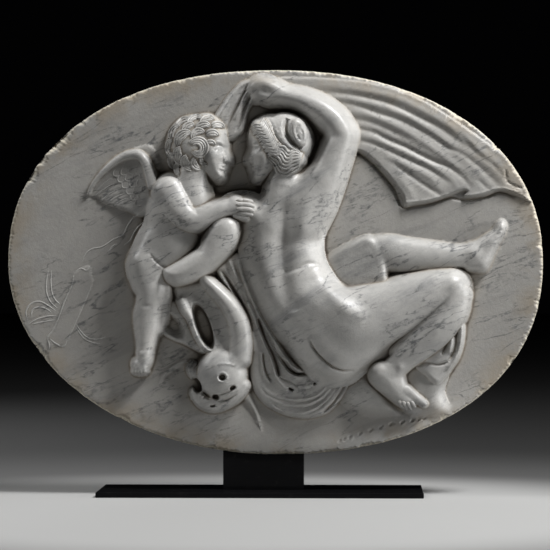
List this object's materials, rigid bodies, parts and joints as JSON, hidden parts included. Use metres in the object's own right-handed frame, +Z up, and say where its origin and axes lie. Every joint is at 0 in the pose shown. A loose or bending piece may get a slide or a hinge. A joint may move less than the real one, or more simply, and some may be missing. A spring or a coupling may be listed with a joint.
{
  "type": "marble relief plaque",
  "caption": "Oval marble plaque carved in high relief with a seated woman seen from behind, a winged child and a dolphin, on a black steel stand.",
  "frame": {"origin": "centre of the foot plate's underside, on the surface that the stand rests on", "axes": "+Z up, the carved face towards -Y, +X to the right of someone facing it"},
  "size_m": [1, 0.2031, 0.794],
  "materials": {
    "marble": "polished figures on a honed ground, grey veins, yellow-brown patina in the hollows",
    "black_steel": "gloss black paint"
  },
  "bodies": {
    "root": {"plaque": "marble", "stand_foot": "black_steel", "stand_upright": "black_steel"}
  },
  "joints": []
}
